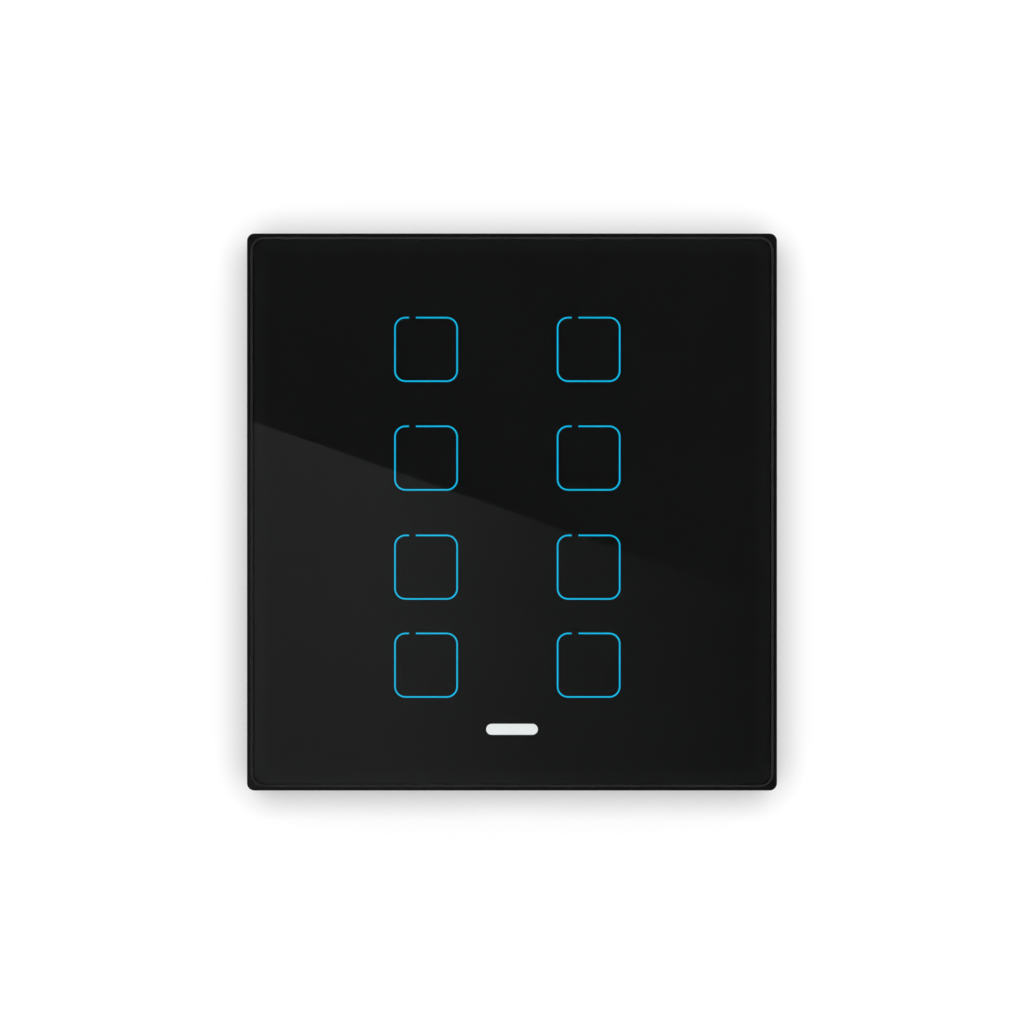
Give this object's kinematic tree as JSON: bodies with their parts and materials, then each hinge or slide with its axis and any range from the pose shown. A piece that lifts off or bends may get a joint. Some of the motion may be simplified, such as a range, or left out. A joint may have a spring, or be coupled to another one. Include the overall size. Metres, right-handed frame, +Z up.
{
  "type": "smart light switch",
  "caption": "Wall-mounted touch light switch: black glass panel with lit key outlines that snaps onto a slotted base with relays and rising-clamp terminals.",
  "frame": {"origin": "centre of the panel on the wall plane, where the back of the flange rests", "axes": "+X to the right seen from the front, +Z up, +Y into the wall"},
  "size_m": [0.086, 0.0335, 0.0904],
  "materials": {
    "panel_glass": "toughened clear glass with a ground and polished bevel",
    "mask_film": "black die-cut adhesive film",
    "frame_plastic": "black moulded plastic, fine satin",
    "key_light": "diffusing light guide, lit cyan",
    "status_light": "diffusing light guide, lit white",
    "sensor_foam": "conductive foam",
    "board_green": "glass-fibre circuit board, green lacquer",
    "led_body": "moulded lamp body",
    "shield_metal": "tinned steel can",
    "chip_black": "moulded epoxy",
    "connector_black": "black nylon",
    "screw_steel": "bright zinc-plated steel",
    "housing_plastic": "charcoal moulded plastic, spark-eroded texture",
    "relay_blue": "blue moulded case",
    "ferrite": "ferrite core and taped winding",
    "capacitor_sleeve": "shrink sleeve",
    "varistor_coat": "epoxy coat",
    "fuse_body": "moulded body",
    "terminal_green": "green flame-retardant nylon",
    "contact_brass": "tinned brass strip",
    "clamp_steel": "zinc-plated steel cage"
  },
  "bodies": {
    "base": {"rear_housing": "housing_plastic", "base_cover": "housing_plastic", "power_board": "board_green", "pin_header": "connector_black", "relay_1": "relay_blue", "relay_2": "relay_blue", "relay_3": "relay_blue", "relay_4": "relay_blue", "supply_transformer": "ferrite", "bridge_rectifier": "chip_black", "smoothing_capacitor": "capacitor_sleeve", "varistor": "varistor_coat", "fuse": "fuse_body", "upper_terminal_block": "terminal_green", "lower_terminal_block": "terminal_green", "contact_bars": "contact_brass"},
    "front_panel": {"panel_frame": "frame_plastic", "glass_panel": "panel_glass", "light_mask": "mask_film", "light_guide_1": "key_light", "light_guide_2": "key_light", "light_guide_3": "key_light", "light_guide_4": "key_light", "light_guide_5": "key_light", "light_guide_6": "key_light", "light_guide_7": "key_light", "light_guide_8": "key_light", "status_light_guide": "status_light", "sensor_pads": "sensor_foam", "touch_board": "board_green", "key_leds": "led_body", "radio_module": "shield_metal", "controller_chip": "chip_black", "touch_socket": "connector_black"},
    "screw_1": {"terminal_screw_1": "screw_steel"},
    "clamp_1": {"wire_clamp_1": "clamp_steel"},
    "screw_2": {"terminal_screw_2": "screw_steel"},
    "clamp_2": {"wire_clamp_2": "clamp_steel"},
    "screw_3": {"terminal_screw_3": "screw_steel"},
    "clamp_3": {"wire_clamp_3": "clamp_steel"},
    "screw_4": {"terminal_screw_4": "screw_steel"},
    "clamp_4": {"wire_clamp_4": "clamp_steel"},
    "screw_5": {"terminal_screw_5": "screw_steel"},
    "clamp_5": {"wire_clamp_5": "clamp_steel"},
    "screw_6": {"terminal_screw_6": "screw_steel"},
    "clamp_6": {"wire_clamp_6": "clamp_steel"}
  },
  "joints": [
    {"name": "panel_release", "type": "slide", "parent": "base", "child": "front_panel", "axis": [0, -1, 0], "range_m": [0, 0.03]},
    {"name": "terminal_1_turn", "type": "hinge", "parent": "base", "child": "screw_1", "pos_m": [-0.0076, 0.0132, 0.0177], "axis": [0, -1, 0], "range_deg": [0, 2160]},
    {"name": "terminal_1_rise", "type": "slide", "parent": "base", "child": "clamp_1", "axis": [0, 1, 0], "range_m": [0, 0.003]},
    {"name": "terminal_2_turn", "type": "hinge", "parent": "base", "child": "screw_2", "pos_m": [0, 0.0132, 0.0177], "axis": [0, -1, 0], "range_deg": [0, 2160]},
    {"name": "terminal_2_rise", "type": "slide", "parent": "base", "child": "clamp_2", "axis": [0, 1, 0], "range_m": [0, 0.003]},
    {"name": "terminal_3_turn", "type": "hinge", "parent": "base", "child": "screw_3", "pos_m": [0.0076, 0.0132, 0.0177], "axis": [0, -1, 0], "range_deg": [0, 2160]},
    {"name": "terminal_3_rise", "type": "slide", "parent": "base", "child": "clamp_3", "axis": [0, 1, 0], "range_m": [0, 0.003]},
    {"name": "terminal_4_turn", "type": "hinge", "parent": "base", "child": "screw_4", "pos_m": [-0.0076, 0.0132, -0.0177], "axis": [0, -1, 0], "range_deg": [0, 2160]},
    {"name": "terminal_4_rise", "type": "slide", "parent": "base", "child": "clamp_4", "axis": [0, 1, 0], "range_m": [0, 0.003]},
    {"name": "terminal_5_turn", "type": "hinge", "parent": "base", "child": "screw_5", "pos_m": [0, 0.0132, -0.0177], "axis": [0, -1, 0], "range_deg": [0, 2160]},
    {"name": "terminal_5_rise", "type": "slide", "parent": "base", "child": "clamp_5", "axis": [0, 1, 0], "range_m": [0, 0.003]},
    {"name": "terminal_6_turn", "type": "hinge", "parent": "base", "child": "screw_6", "pos_m": [0.0076, 0.0132, -0.0177], "axis": [0, -1, 0], "range_deg": [0, 2160]},
    {"name": "terminal_6_rise", "type": "slide", "parent": "base", "child": "clamp_6", "axis": [0, 1, 0], "range_m": [0, 0.003]}
  ],
  "couplings": [
    {"joint": "terminal_1_turn", "follows": "terminal_1_rise", "rad_per_m": 12566},
    {"joint": "terminal_2_turn", "follows": "terminal_2_rise", "rad_per_m": 12566},
    {"joint": "terminal_3_turn", "follows": "terminal_3_rise", "rad_per_m": 12566},
    {"joint": "terminal_4_turn", "follows": "terminal_4_rise", "rad_per_m": 12566},
    {"joint": "terminal_5_turn", "follows": "terminal_5_rise", "rad_per_m": 12566},
    {"joint": "terminal_6_turn", "follows": "terminal_6_rise", "rad_per_m": 12566}
  ]
}
